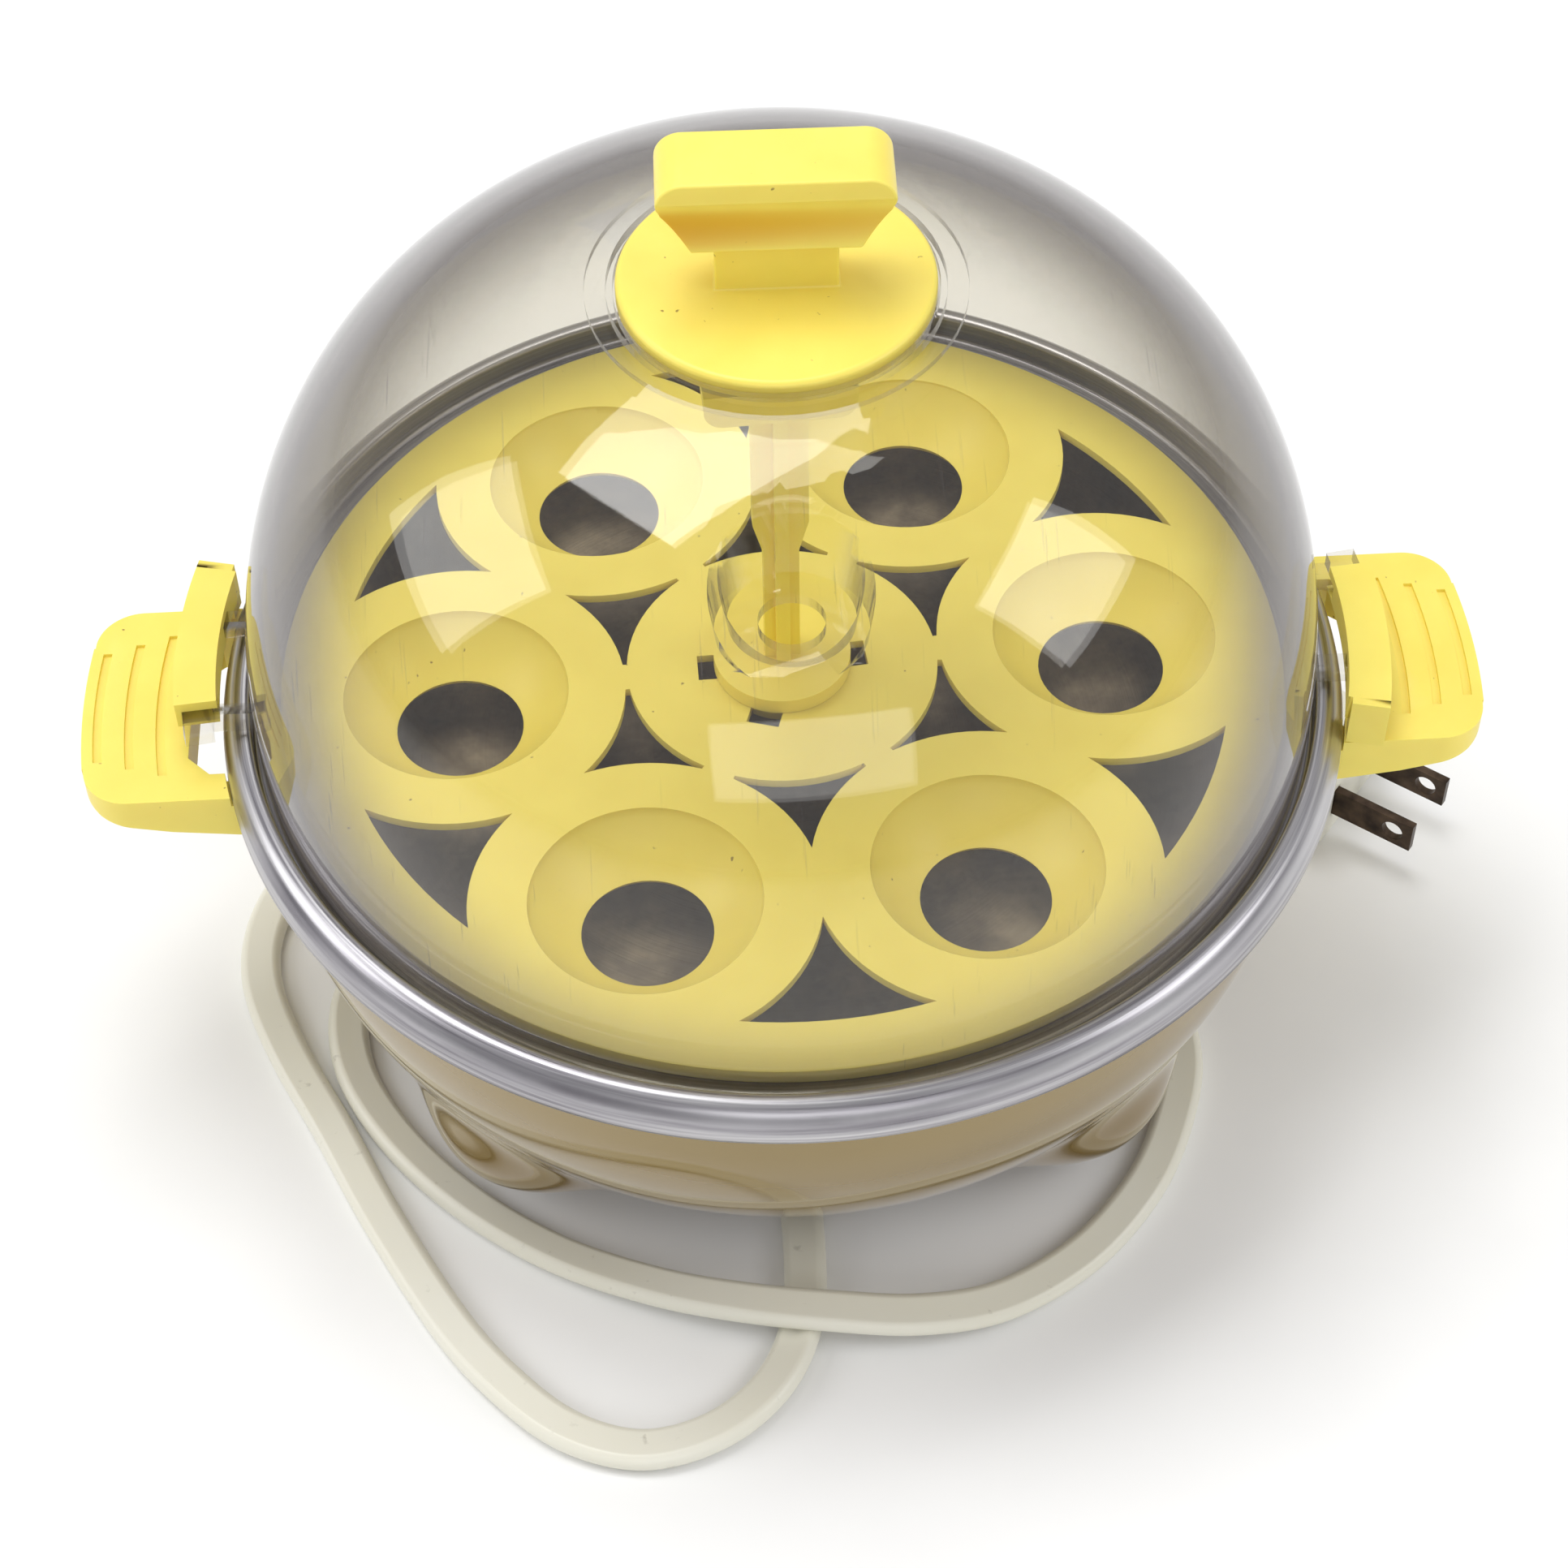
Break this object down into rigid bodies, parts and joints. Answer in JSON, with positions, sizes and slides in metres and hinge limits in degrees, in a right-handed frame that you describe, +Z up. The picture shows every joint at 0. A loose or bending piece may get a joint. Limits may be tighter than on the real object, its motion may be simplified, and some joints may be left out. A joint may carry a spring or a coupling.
{
  "type": "egg cooker",
  "caption": "Electric egg cooker with a glossy round base, a steel heating pan, a removable egg tray with a pull handle, a clear dome lid with a knob, and a flat mains cord with a plug.",
  "frame": {"origin": "on the table, under the middle of the dome", "axes": "+Z up, +X towards the right side handle, +Y away from the steam vent"},
  "size_m": [0.2331, 0.1954, 0.1744],
  "materials": {
    "base_gloss": "mirror gloss",
    "yellow_plastic": "satin",
    "steel": "circular brushing",
    "clear_plastic": "clear, scratched",
    "white_vinyl": "satin",
    "dark_rubber": "matt",
    "dark_plastic": "matt",
    "zinc_steel": "bright zinc",
    "blade_metal": "dark tarnish",
    "aluminium_sheet": "as rolled",
    "lamp_lens": "frosted"
  },
  "bodies": {
    "base": {"base_body": "base_gloss", "side_handle_left": "yellow_plastic", "side_handle_right": "yellow_plastic", "handle_screws": "zinc_steel", "bottom_cover": "dark_plastic", "cover_screws": "zinc_steel", "rubber_feet": "dark_rubber", "heating_pan": "steel", "heating_element": "zinc_steel", "element_clamp": "aluminium_sheet", "heat_shield": "aluminium_sheet", "pan_nuts": "zinc_steel", "thermostat": "dark_plastic", "thermostat_clip": "zinc_steel", "thermal_fuse": "white_vinyl", "terminal_block": "white_vinyl", "supply_leads": "white_vinyl", "element_leads": "white_vinyl", "power_switch": "dark_plastic", "button_bezel": "steel", "indicator_lamp": "lamp_lens", "indicator_lens": "lamp_lens", "cord_gland": "white_vinyl", "strain_relief": "white_vinyl", "power_cord": "white_vinyl", "plug_body": "white_vinyl", "plug_blades": "blade_metal"},
    "button": {"power_button": "yellow_plastic"},
    "lid": {"lid_dome": "clear_plastic", "lid_grip_left": "yellow_plastic", "lid_grip_right": "yellow_plastic", "lid_knob": "yellow_plastic", "knob_screw": "zinc_steel", "knob_washer": "zinc_steel"},
    "tray": {"egg_tray": "yellow_plastic"},
    "tray_pull": {"tray_handle": "yellow_plastic"}
  },
  "joints": [
    {"name": "lid_lift", "type": "slide", "parent": "base", "child": "lid", "axis": [0, 0, 1], "range_m": [0, 0.15]},
    {"name": "tray_lift", "type": "slide", "parent": "base", "child": "tray", "axis": [0, 0, 1], "range_m": [0, 0.075]},
    {"name": "tray_handle_twist", "type": "hinge", "parent": "tray", "child": "tray_pull", "pos_m": [0, 0, 0.0714], "axis": [0, 0, -1], "range_deg": [0, 38]},
    {"name": "power_press", "type": "slide", "parent": "base", "child": "button", "axis": [0, -0.9665, 0.2568], "range_m": [0, 0.0025], "stiffness_N_per_m": 600, "springref_m": -0.001}
  ],
  "couplings": [
    {"joint": "tray_lift", "follows": "lid_lift", "ratio": 0.5}
  ]
}
